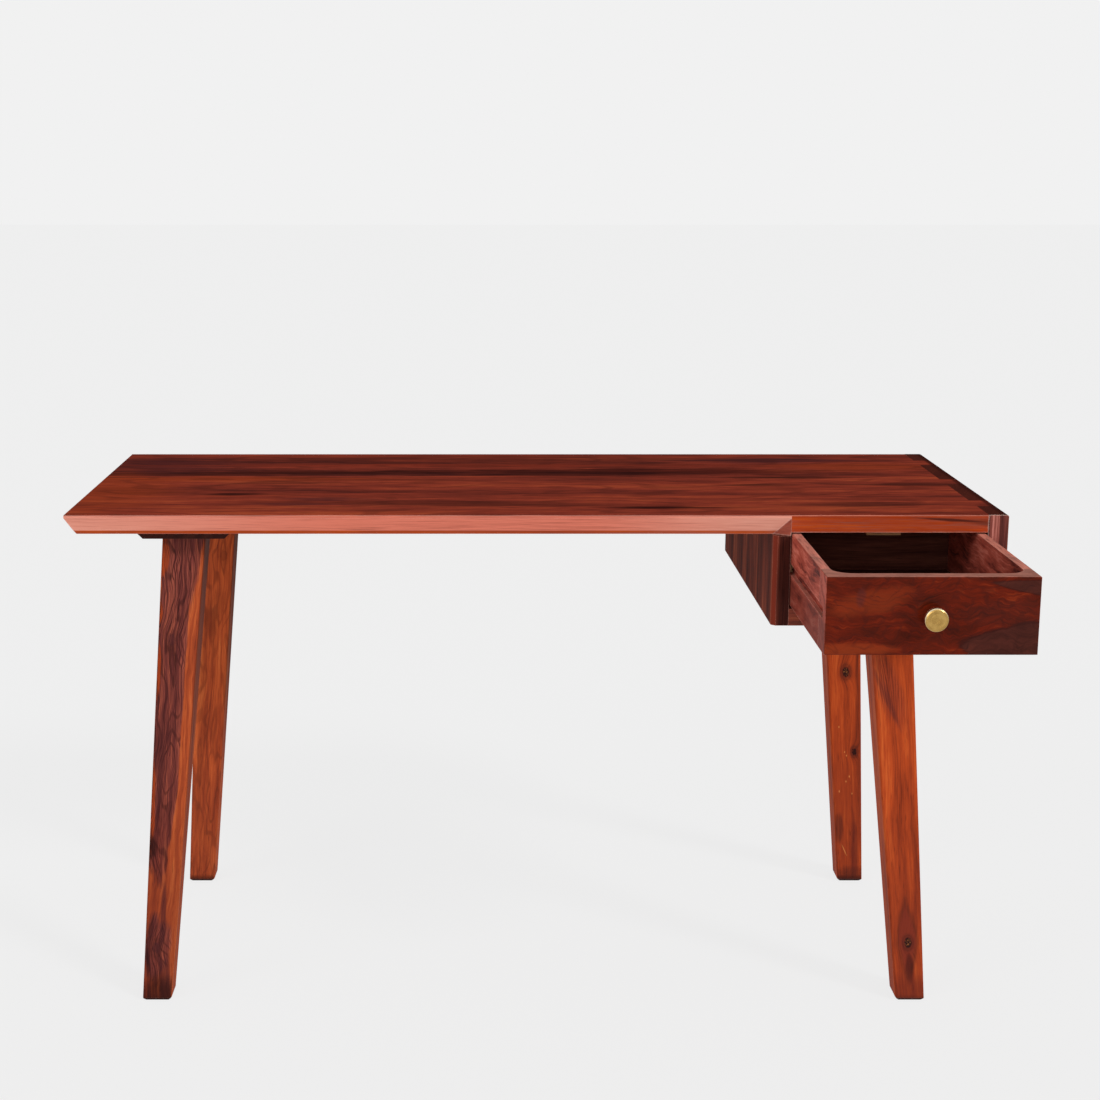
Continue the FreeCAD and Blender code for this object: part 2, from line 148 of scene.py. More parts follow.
class Sock:
    """One shader value, whose operators add Math nodes to its graph."""

    def __init__(self, graph: Graph, socket: bpy.types.NodeSocket | None) -> None:
        """Keep the graph and the socket that gives the value."""
        self.graph = graph
        self.socket = socket

    def math(self, operation: str, first: Value, second: Value = 0.0) -> Sock:
        """One Math node on two values."""
        return self.graph.add("ShaderNodeMath", {"operation": operation}, {0: first, 1: second})

    def __add__(self, other: Value) -> Sock:
        """Sum."""
        return self.math("ADD", self, other)

    def __radd__(self, other: Value) -> Sock:
        """Sum with a number first."""
        return self.math("ADD", other, self)

    def __sub__(self, other: Value) -> Sock:
        """Difference."""
        return self.math("SUBTRACT", self, other)

    def __rsub__(self, other: Value) -> Sock:
        """Difference with a number first."""
        return self.math("SUBTRACT", other, self)

    def __mul__(self, other: Value) -> Sock:
        """Product."""
        return self.math("MULTIPLY", self, other)

    def __rmul__(self, other: Value) -> Sock:
        """Product with a number first."""
        return self.math("MULTIPLY", other, self)

    def __truediv__(self, other: Value) -> Sock:
        """Quotient."""
        return self.math("DIVIDE", self, other)

    def __rtruediv__(self, other: Value) -> Sock:
        """Quotient with a number first."""
        return self.math("DIVIDE", other, self)

    def sine(self) -> Sock:
        """Sine of the value, in radians."""
        return self.math("SINE", self)

    def exponential(self) -> Sock:
        """Euler's number raised to the value."""
        return self.math("EXPONENT", self)

    def power(self, exponent: float) -> Sock:
        """The value raised to a power."""
        return self.math("POWER", self, exponent)

    def over(self, edge: Value) -> Sock:
        """One where the value passes an edge, and nought below it."""
        return self.math("GREATER_THAN", self, edge)

    def at_least(self, other: Value) -> Sock:
        """The larger of two values."""
        return self.math("MAXIMUM", self, other)

    def size(self) -> Sock:
        """The value without its sign."""
        return self.math("ABSOLUTE", self)

    def step(self, low: float, high: float) -> Sock:
        """A smooth rise between two values.

        Args:
            low: Value that gives nought.
            high: Value that gives one, which may be the lower of the two.

        Returns:
            The share, from nought to one.
        """
        sockets = {"Value": self, "From Min": low, "From Max": high}
        if low > high:
            sockets.update({"From Min": high, "From Max": low, "To Min": 1.0, "To Max": 0.0})
        return self.graph.add("ShaderNodeMapRange", {"interpolation_type": "SMOOTHSTEP"}, sockets)


class Graph:
    """A node tree, with one method that adds any node."""

    # Numbers of a Mix node's colour sockets, because its other sockets have the same names
    MIX_SHARE, MIX_FIRST, MIX_SECOND, MIX_RESULT = 0, 6, 7, 2

    def __init__(self, tree: bpy.types.NodeTree) -> None:
        """Start from an empty tree."""
        self.tree = tree
        tree.nodes.clear()

    def add(
        self, kind: str, settings: dict[str, Any], sockets: dict[Any, Value], output: int | str = 0
    ) -> Sock:
        """Add a node.

        Args:
            kind: Type of the node.
            settings: Properties, set first; stops are the positions and colours of a ramp.
            sockets: Values or links of the inputs, by name or number.
            output: Name or number of the output that is given back.

        Returns:
            The output as a shader value.
        """
        node = self.tree.nodes.new(kind)
        for name, value in settings.items():
            if name == "stops":
                self.set_stops(node.color_ramp, value)
            else:
                setattr(node, name, value)
        for key, value in sockets.items():
            if isinstance(value, Sock):
                self.tree.links.new(value.socket, node.inputs[key])
            else:
                node.inputs[key].default_value = value
        return Sock(self, node.outputs[output] if len(node.outputs) else None)

    @staticmethod
    def set_stops(ramp: bpy.types.ColorRamp, stops: tuple[tuple[float, Colour], ...]) -> None:
        """Give a ramp its stops.

        Args:
            ramp: The ramp.
            stops: Positions and colours, in order.
        """
        while len(ramp.elements) < len(stops):
            ramp.elements.new(1.0)
        for element, (position, colour) in zip(ramp.elements, stops):
            element.position = position
            element.color = colour

    def mix(self, share: Value, first: Value, second: Value) -> Sock:
        """Blend two colours by a share."""
        sockets = {self.MIX_SHARE: share, self.MIX_FIRST: first, self.MIX_SECOND: second}
        settings = {"data_type": "RGBA", "clamp_factor": True}
        return self.add("ShaderNodeMix", settings, sockets, self.MIX_RESULT)

    def ramp(self, share: Value, tones: tuple[Colour, ...]) -> Sock:
        """Even run through a row of tones."""
        stops = tuple((index / (len(tones) - 1), tone) for index, tone in enumerate(tones))
        return self.add("ShaderNodeValToRGB", {"stops": stops}, {"Fac": share})

    def place(self) -> Sock:
        """The point in the frame, in metres."""
        return self.add("ShaderNodeTexCoord", {}, {}, "Object")

    def normal(self) -> Sock:
        """The surface's own normal."""
        return self.add("ShaderNodeNewGeometry", {}, {}, "Normal")

    def vector_math(self, operation: str, first: Value, second: Value, output: str = "Vector") -> Sock:
        """One Vector Math node on two vectors."""
        return self.add("ShaderNodeVectorMath", {"operation": operation}, {0: first, 1: second}, output)

    def dot(self, first: Value, second: Value) -> Sock:
        """Dot product of two vectors."""
        return self.vector_math("DOT_PRODUCT", first, second, "Value")

    def vector(self, x: Value, y: Value, z: Value) -> Sock:
        """Three values as a vector."""
        return self.add("ShaderNodeCombineXYZ", {}, {"X": x, "Y": y, "Z": z})

    def noise(self, vector: Value, detail: float, roughness: float, scale: float = 1.0) -> Sock:
        """Three-dimensional noise between about 0.2 and 0.8."""
        sockets = {"Vector": vector, "Scale": scale, "Detail": detail, "Roughness": roughness}
        return self.add("ShaderNodeTexNoise", {"noise_dimensions": "3D"}, sockets)

    def stripe_noise(self, place: Value, detail: float, roughness: float, scale: float) -> Sock:
        """Noise along one line."""
        sockets = {"W": place, "Scale": scale, "Detail": detail, "Roughness": roughness}
        return self.add("ShaderNodeTexNoise", {"noise_dimensions": "1D"}, sockets)

    def bump(self, height: Sock, strength: float, depth: float) -> Sock:
        """The normal of a fine relief."""
        return self.add("ShaderNodeBump", {}, {"Strength": strength, "Distance": depth, "Height": height})

    def finish(self, shader: dict[str, Value]) -> None:
        """End a material in one Principled shader."""
        surface = self.add("ShaderNodeBsdfPrincipled", {}, shader)
        self.add("ShaderNodeOutputMaterial", {}, {"Surface": surface})


def new_material(name: str) -> tuple[bpy.types.Material, Graph]:
    """Start a material.

    Args:
        name: Name of the material.

    Returns:
        The material and its empty graph.
    """
    material = bpy.data.materials.new(name)
    material.use_nodes = True
    return material, Graph(material.node_tree)


@dataclass(frozen=True)
class GrainFrame:
    """Where a piece's grain starts and runs: along it, and across its show face."""

    origin: Point
    along: Point
    across: Point

    @property
    def ways(self) -> tuple[Point, Point, Point]:
        """Directions along, across and through the grain."""
        return (self.along, self.across, tuple(Vector(self.along).cross(Vector(self.across))))


@dataclass(frozen=True)
class Patch:
    """A streak, flame or mound of another tone: a long lens with a wandering outline.

    A taper of two is an ellipse, and one has pointed ends. A patch on the edge lies on the piece's front
    edge, and is measured along the grain and through the piece.
    """

    u: float
    v: float
    half_u: float
    half_v: float
    tone: Tone | Palette
    strength: float
    lean: float = 0.0
    soft: float = 0.5
    ragged: float = 1.6
    lined: bool = False
    taper: float = 2.0
    on_edge: bool = False

    def mask(self, along: Sock, across: Sock, ragged: Sock) -> Sock:
        """Find the patch.

        Args:
            along: Place along the patch.
            across: Place across it.
            ragged: Noise that makes its outline wander.

        Returns:
            One inside the patch, falling to nought over its soft edge.
        """
        du = (along - self.u) / self.half_u
        shift = (along - self.u) * self.lean
        dv = (across - self.v - shift) / self.half_v
        reach = du.size().power(self.taper) + dv.size().power(self.taper)
        return (reach + ragged * self.ragged).step(1 + self.soft, 1 - self.soft)


@dataclass(frozen=True)
class Knot:
    """A knot that the grain flows round, with a dark core and maybe flecks of another tone in it."""

    u: float
    v: float
    radius: float
    reach: float
    core: Tone
    strength: float
    flecks: Tone | None = None

    STRETCH, BEND = 1.5, 2.2

    def distance(self, along: Sock, across: Sock) -> Sock:
        """Squared distance from the knot.

        Args:
            along: Place along the grain.
            across: Place across it.

        Returns:
            The square, in the knot's radii, with the knot stretched along the grain.
        """
        du = (along - self.u) / (self.STRETCH * self.radius)
        dv = (across - self.v) / self.radius
        return du * du + dv * dv

    def bend(self, along: Sock, across: Sock) -> Sock:
        """How far the grain gives way to the knot."""
        spread = self.distance(along, across) / (self.reach * self.reach)
        return (spread * -1.0).exponential() * (self.BEND * self.radius * self.strength)


@dataclass(frozen=True)
class Board:
    """One board of a glued-up panel: where it starts across the panel, and its shade."""

    start: float
    shade: float


@dataclass(frozen=True)
class Lines:
    """Wavy growth lines, drawn as the height lines of a slow field stretched along the grain."""

    along: float
    across: float
    count: float
    drift: float
    strength: float
    tone: Tone
    low: float
    high: float = 0.98


@dataclass(frozen=True)
class Tint:
    """A tone laid over the faces that look one way, within a span along an axis."""

    facing: Point
    tone: Tone | Palette
    strength: float
    axis: Point = Z_AXIS
    low: float = -FAR
    high: float = FAR
    soft: float = 0.001
    limit: float = 0.9

    FALL, RISE = 0.15, 0.05

    def mask(self, graph: Graph, place: Sock, normal: Sock) -> Sock:
        """Find the tinted faces.

        Args:
            graph: Node tree of the material.
            place: The point in the frame.
            normal: Normal of the surface.

        Returns:
            One on the tinted faces within the span, and nought elsewhere.
        """
        facing = graph.dot(normal, self.facing).step(self.limit - self.FALL, self.limit + self.RISE)
        height = graph.dot(place, self.axis)
        above = height.step(self.low - self.soft, self.low + self.soft)
        return facing * (above * height.step(self.high + self.soft, self.high - self.soft))


@dataclass(frozen=True)
class Grain:
    """Noise by the grain: features in a metre along, across and through it, and their detail."""

    along: float
    across: float
    through: float
    detail: float = 3.0
    roughness: float = 0.6


@dataclass(frozen=True)
class Wood:
    """A wood finish: stain tones, grain, figure and polish."""

    name: str
    frame: GrainFrame
    palette: Palette
    streak_along: float = 4.0
    streak_across: float = 70.0
    streak: float = 1.6
    broad: float = 0.8
    through_gain: float = 0.75
    wander: float = 0.020
    wander_along: float = 3.0
    wander_across: float = 9.0
    mottle: float = 0.5
    fine: float = 1.0
    pore: float = 0.45
    ragged_along: float = 14.0
    ragged_across: float = 60.0
    coat: float = 0.10
    top_coat: float = 0.03
    # Pale arrises: wear, and a painted highlight where light catches the rounded edges
    wear_and_highlight: float = 0.4
    wear_and_highlight_width: float = 0.0016
    wear_and_highlight_full: float = 0.28
    wear_and_highlight_tone: Tone = Tone.BLUSH
    wear_and_highlight_facing: Point | None = None
    end_grain: float = 0.5
    patches: tuple[Patch, ...] = ()
    knots: tuple[Knot, ...] = ()
    boards: tuple[Board, ...] = ()
    lines: tuple[Lines, ...] = ()
    tints: tuple[Tint, ...] = ()

    BUMP_STRENGTH, BUMP_DEPTH = 0.10, 0.0006
    RELIEF_FINE, RELIEF_PORES, RELIEF_RINGS = 0.6, 0.8, 0.25
    ROUGHNESS, ROUGH_FINE, ROUGH_PORES, ROUGH_ENDS = 0.38, 0.18, 0.12, 0.2
    COAT_ROUGHNESS, COAT_IOR = 0.18, 1.5
    UPWARD = (0.5, 0.9)

    def build(self) -> bpy.types.Material:
        """Make the material.

        Returns:
            A polished stained wood with grain along the piece.
        """
        material, graph = new_material(self.name)
        paint = Painting(self, graph)
        paint.lay_figure()
        paint.lay_surface()
        upward = graph.dot(paint.normal, Z_AXIS).step(*self.UPWARD)
        relief = paint.fine * self.RELIEF_FINE - paint.pores * self.RELIEF_PORES
        relief = relief + paint.rings * self.RELIEF_RINGS
        roughness = self.ROUGHNESS + paint.fine * self.ROUGH_FINE + paint.pores * self.ROUGH_PORES
        shader = {
            "Base Color": paint.colour,
            "Roughness": roughness + paint.ends * self.ROUGH_ENDS,
            "Specular IOR Level": 0.0,
            "Coat Weight": self.coat + (self.top_coat - self.coat) * upward,
            "Coat Roughness": self.COAT_ROUGHNESS,
            "Coat IOR": self.COAT_IOR,
            "Normal": graph.bump(relief, self.BUMP_STRENGTH, self.BUMP_DEPTH),
        }
        graph.finish(shader)
        return material


class Painting:
    """A wood's colour in the making, over the masks that it is made of."""

    BROAD = Grain(1.2, 15.0, 5.0, 2.0, 0.5)
    FINE = Grain(16.0, 360.0, 360.0)
    PORES = Grain(40.0, 900.0, 900.0, 1.0, 0.5)
    CLOUD = Grain(9.0, 22.0, 22.0)
    FLECKS = Grain(300.0, 420.0, 0.0, 2.0)
    STREAK_THROUGH, STREAK_DETAIL = 20.0, 4.0
    WANDER_DETAIL, WANDER_ROUGHNESS = 3.0, 0.55
    LINE_DETAIL, LINE_ROUGHNESS = 1.6, 0.5
    RING_WIDTH, RING_DETAIL, RING_ROUGHNESS, RING_SHARE = 0.012, 4.0, 0.62, 0.35

    # How far the grain of one board lies from the next one's
    BOARD_SHIFT, BOARD_STEP = 31.0, 2.7

    # Where masks start and are full
    PORE_EDGE, SHOW_EDGE, ENDS_EDGE, WORN_EDGE = (0.62, 0.74), (0.35, 0.7), (0.75, 0.95), (0.3, 0.6)
    ARRIS_START, ARRIS_SAMPLES = 0.03, 4

    # How far fibre, streaks and clouds break up patches, lines, tints, and the wear and painted highlight of
    # the arrises
    PATCH_FINE, PATCH_STREAK = 0.5, 0.7
    LINE_FINE, LINE_CLOUD, UNLINED = 2.5, 1.5, 0.12
    TINT_FINE, TINT_STREAK = 1.6, 0.9
    WEAR_BASE, WEAR_CLOUD = 0.55, 1.8

    # Zones of a knot in its squared radii, how its outline breaks up, and how strong each zone shows
    HALO, RING_ZONE, CORE, INSIDE = (6.0, 0.8), (5.0, 1.0), (1.3, 0.5), (1.1, 0.5)
    KNOT_RINGS, KNOT_RING_EDGE, FLECK_EDGE = 3.0, (0.2, 1.0), (0.50, 0.66)
    KNOT_RAGGED, KNOT_FLECK = 2.2, 2.0
    HALO_SHARE, KNOT_RING_SHARE, FLECK_SHARE = 0.6, 0.3, 0.45

    def __init__(self, wood: Wood, graph: Graph) -> None:
        """Find the masks, and start from the plain run of the palette.

        Args:
            wood: Finish to paint.
            graph: Node tree of the material.
        """
        self.wood = wood
        self.graph = graph
        self.normal = graph.normal()
        self.lined: Value = 0.0
        ways = wood.frame.ways
        local = graph.vector_math("SUBTRACT", graph.place(), wood.frame.origin)
        self.along, self.across, self.through = (graph.dot(local, way) for way in ways)
        self.ends = graph.dot(self.normal, ways[0]).size().step(*self.ENDS_EDGE)
        self.show = graph.dot(self.normal, ways[2]).size().step(*self.SHOW_EDGE)
        shade = self.board_shade()
        self.field = self.ring_field(shade)
        scale = 1 / self.RING_WIDTH
        rings = graph.stripe_noise(self.field, self.RING_DETAIL, self.RING_ROUGHNESS, scale)
        self.rings = rings - MIDDLE
        streaks = Grain(wood.streak_along, wood.streak_across, self.STREAK_THROUGH, self.STREAK_DETAIL)
        ragged = Grain(wood.ragged_along, wood.ragged_across, wood.ragged_across)
        self.streak = self.noise(streaks, self.field) - MIDDLE
        self.fine = self.noise(self.FINE, self.field) - MIDDLE
        self.pores = self.noise(self.PORES, self.field).step(*self.PORE_EDGE)
        self.cloud = self.noise(self.CLOUD, self.across) - MIDDLE
        self.ragged = self.noise(ragged, self.across) - MIDDLE
        broad = self.noise(self.BROAD, self.field) - MIDDLE
        share = MIDDLE + self.streak * wood.streak + self.rings * self.RING_SHARE
        share = share + self.fine * wood.fine + self.cloud * wood.mottle + broad * wood.broad
        self.share = share + (shade - MIDDLE)
        self.colour = graph.ramp(self.share, wood.palette.value)

    def noise(self, grain: Grain, side: Sock) -> Sock:
        """Noise by the grain, between about 0.2 and 0.8, with its own measure across."""
        ways = (self.along * grain.along, side * grain.across, self.through * grain.through)
        return self.graph.noise(self.graph.vector(*ways), grain.detail, grain.roughness)

    def board_shade(self) -> Value:
        """Find the shade of the board, which steps at the glue lines.

        Returns:
            The shade, or the middle one where there is a single board.
        """
        boards = self.wood.boards
        if not boards:
            return MIDDLE
        shade = self.across * 0.0 + boards[0].shade
        for before, board in zip(boards, boards[1:]):
            shade = shade + self.across.over(board.start) * (board.shade - before.shade)
        return shade

    def ring_field(self, shade: Value) -> Sock:
        """Find how the growth rings lie, wandering and flowing round the knots.

        Args:
            shade: Shade of the board.

        Returns:
            Measure across the rings, in metres.
        """
        wood = self.wood
        shifted = self.along * wood.wander_along + shade * self.BOARD_SHIFT
        slow = (shifted, self.across * wood.wander_across, self.through * wood.wander_across)
        wander = self.graph.noise(self.graph.vector(*slow), self.WANDER_DETAIL, self.WANDER_ROUGHNESS)
        rings = self.across + self.through * wood.through_gain + (wander - MIDDLE) * wood.wander
        rings = rings + shade * self.BOARD_STEP
        for knot in wood.knots:
            rings = rings + knot.bend(self.along, self.across)
        return rings

    def lay(self, share: Sock, tone: Tone | Palette) -> None:
        """Lay a plain tone, or a palette's run by the grain, over the colour."""
        upper = self.graph.ramp(self.share, tone.value) if isinstance(tone, Palette) else tone.value
        self.colour = self.graph.mix(share, self.colour, upper)

    def lay_figure(self) -> None:
        """Lay the patches of the show face, the growth lines, the knots and the pores."""
        grained = 1 - self.fine * self.PATCH_FINE - self.streak * self.PATCH_STREAK
        for patch in self.wood.patches:
            if patch.on_edge:
                continue
            mask = patch.mask(self.along, self.across, self.ragged) * self.show
            self.lay(mask * (patch.strength * grained), patch.tone)
            if patch.lined:
                self.lined = mask.at_least(self.lined)
        for lines in self.wood.lines:
            self.draw_lines(lines)
        for knot in self.wood.knots:
            self.draw_knot(knot)
        self.lay(self.pores * self.wood.pore, Tone.INK)

    def draw_lines(self, lines: Lines) -> None:
        """Draw growth lines, faint outside the lined patches where there are any.

        Args:
            lines: The lines.
        """
        slow = Grain(lines.along, lines.across, 0.0, self.LINE_DETAIL, self.LINE_ROUGHNESS)
        height = self.noise(slow, self.field) * lines.count + self.field * lines.drift
        wave = (height * (2 * math.pi)).sine().step(lines.low, lines.high)
        share = wave * (lines.strength * (1 + self.fine * self.LINE_FINE + self.cloud * self.LINE_CLOUD))
        if self.lined:
            share = share * (self.UNLINED + self.lined * (1 - self.UNLINED))
        self.lay(share, lines.tone)

    def draw_knot(self, knot: Knot) -> None:
        """Draw a knot: its halo, rings, core and flecks.

        Args:
            knot: The knot.
        """
        gain = self.show * knot.strength
        fleck = self.noise(self.FLECKS, self.across)
        rough = self.ragged * self.KNOT_RAGGED + (fleck - MIDDLE) * self.KNOT_FLECK
        reach = knot.distance(self.along, self.across) + rough
        self.lay(reach.step(*self.HALO) * gain * self.HALO_SHARE, Tone.UMBER)
        rings = (reach * self.KNOT_RINGS).sine().step(*self.KNOT_RING_EDGE) * reach.step(*self.RING_ZONE)
        self.lay(rings * gain * self.KNOT_RING_SHARE, Tone.INK)
        self.lay(reach.step(*self.CORE) * gain, knot.core)
        if knot.flecks:
            inside = reach.step(*self.INSIDE) * fleck.step(*self.FLECK_EDGE)
            self.lay(inside * self.show * self.FLECK_SHARE, knot.flecks)

    def lay_surface(self) -> None:
        """Lay the end grain, the tints, the patches of the front edge, and the wear and painted highlight of
        the arrises.
        """
        wood, graph = self.wood, self.graph
        self.lay(self.ends * wood.end_grain, Tone.COCOA)
        place = graph.place()
        grained = 1 + self.fine * self.TINT_FINE + self.streak * self.TINT_STREAK
        for tint in wood.tints:
            self.lay(tint.mask(graph, place, self.normal) * (grained * tint.strength), tint.tone)
        for patch in wood.patches:
            if patch.on_edge:
                self.lay(patch.mask(self.along, self.through, self.ragged) * patch.strength, patch.tone)
        # A slightly rounded normal differs from the true one only along an arris
        rounded = graph.add("ShaderNodeBevel", {"samples": self.ARRIS_SAMPLES}, {"Radius": wood.wear_and_highlight_width})
        arris = (1 - graph.dot(rounded, self.normal)).step(self.ARRIS_START, wood.wear_and_highlight_full)
        # The arrises pale with wear and with a painted highlight
        worn_and_highlit = arris * (wood.wear_and_highlight * (self.WEAR_BASE + self.cloud * self.WEAR_CLOUD + self.fine))
        if wood.wear_and_highlight_facing:
            worn_and_highlit = worn_and_highlit * graph.dot(self.normal, wood.wear_and_highlight_facing).step(*self.WORN_EDGE)
        self.lay(worn_and_highlit, wood.wear_and_highlight_tone)


@dataclass(frozen=True)
class Metal:
    """A turned metal finish with lathe marks and, where its rim's radius is given, a painted highlight on
    the rim's upper side.
    """

    name: str
    alloy: Alloy
    roughness: float
    centre: Point
    axis: Point
    rim: float = 0.0

    MARKS, MARK_DETAIL, MARK_ROUGHNESS = 900.0, 3.0, 0.7
    TARNISH, TARNISH_DETAIL, TARNISH_ROUGHNESS = 110.0, 3.0, 0.55
    TARNISH_EDGE, TARNISH_SHARE, MARK_SHARE = (0.3, 0.75), 0.3, 0.6
    ROUGH_TARNISH, ROUGH_MARKS = 0.15, 0.1
    # Painted highlight on the rim's upper side: the way towards the light, its tone, its reach and its
    # strength
    RIM_LIGHT, RIM_TONE = (-0.15, 0.0, 1.0), srgb(255, 242, 208)
    RIM_LOW, RIM_HIGH, RIM_START, RIM_FULL = -0.4, 0.5, 0.88, 0.99
    RIM_BASE, RIM_GAIN = 0.15, 0.75
    BUMP_STRENGTH, BUMP_DEPTH = 0.12, 0.0003

    def build(self) -> bpy.types.Material:
        """Make the material.

        Returns:
            A metal with rings about its axis and a little tarnish.
        """
        material, graph = new_material(self.name)
        local = graph.vector_math("SUBTRACT", graph.place(), self.centre)
        crossed = graph.vector_math("CROSS_PRODUCT", local, self.axis)
        radius = graph.vector_math("LENGTH", crossed, ORIGIN, "Value")
        marks = graph.stripe_noise(radius, self.MARK_DETAIL, self.MARK_ROUGHNESS, self.MARKS)
        tarnish = graph.noise(local, self.TARNISH_DETAIL, self.TARNISH_ROUGHNESS, self.TARNISH)
        bright, dull = self.alloy.value
        share = tarnish.step(*self.TARNISH_EDGE) * self.TARNISH_SHARE + marks * self.MARK_SHARE
        colour = graph.mix(share, dull, bright)
        if self.rim:
            height = graph.dot(local, self.RIM_LIGHT)
            upper = height.step(self.RIM_LOW * self.rim, self.RIM_HIGH * self.rim)
            edge = radius.step(self.RIM_START * self.rim, self.RIM_FULL * self.rim)
            colour = graph.mix(edge * (self.RIM_BASE + upper * self.RIM_GAIN), colour, self.RIM_TONE)
        roughness = self.roughness + (tarnish - MIDDLE) * self.ROUGH_TARNISH
        shader = {
            "Base Color": colour,
            "Metallic": 1.0,
            "Roughness": roughness + (marks - MIDDLE) * self.ROUGH_MARKS,
            "Normal": graph.bump(marks, self.BUMP_STRENGTH, self.BUMP_DEPTH),
        }
        graph.finish(shader)
        return material


def zinc(name: str, centre: Point, axis: Point) -> Metal:
    """Zinc-plated steel for screws."""
    return Metal("zinc_" + name, Alloy.ZINC, roughness=0.35, centre=centre, axis=axis)


def dress(node: str, finish: Wood | Metal) -> None:
    """Give a carried-over solid its finish.

    Args:
        node: Name of the solid.
        finish: Finish that makes its material.
    """
    solid = bpy.data.objects[node]
    solid.data.materials.clear()
    solid.data.materials.append(finish.build())
    LOG.info("dressed %s with %s", node, finish.name)


def corner_frame(node: str, along: Point, across: Point) -> GrainFrame:
    """Grain from the low corner of a solid."""
    return GrainFrame(tuple(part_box(node)[0]), along, across)


def dress_bare(node: str, along: Point = X_AXIS) -> None:
    """Finish an inner piece in bare pale wood."""
    frame = corner_frame(node, along, Y_AXIS if along == X_AXIS else Z_AXIS)
    dress(node, Wood("bare_" + node, frame, Palette.BARE, coat=0.0, top_coat=0.0, wear_and_highlight=0.0, end_grain=0.2))


def place_mesh(name: str, shape: bmesh.types.BMesh) -> bpy.types.Object:
    """Put a finished shape into the scene.

    Args:
        name: Name of the object and its mesh.
        shape: The shape, which is freed.

    Returns:
        The new object.
    """
    mesh = bpy.data.meshes.new(name)
    shape.to_mesh(mesh)
    shape.free()
    thing = bpy.data.objects.new(name, mesh)
    bpy.context.scene.collection.objects.link(thing)
    return thing


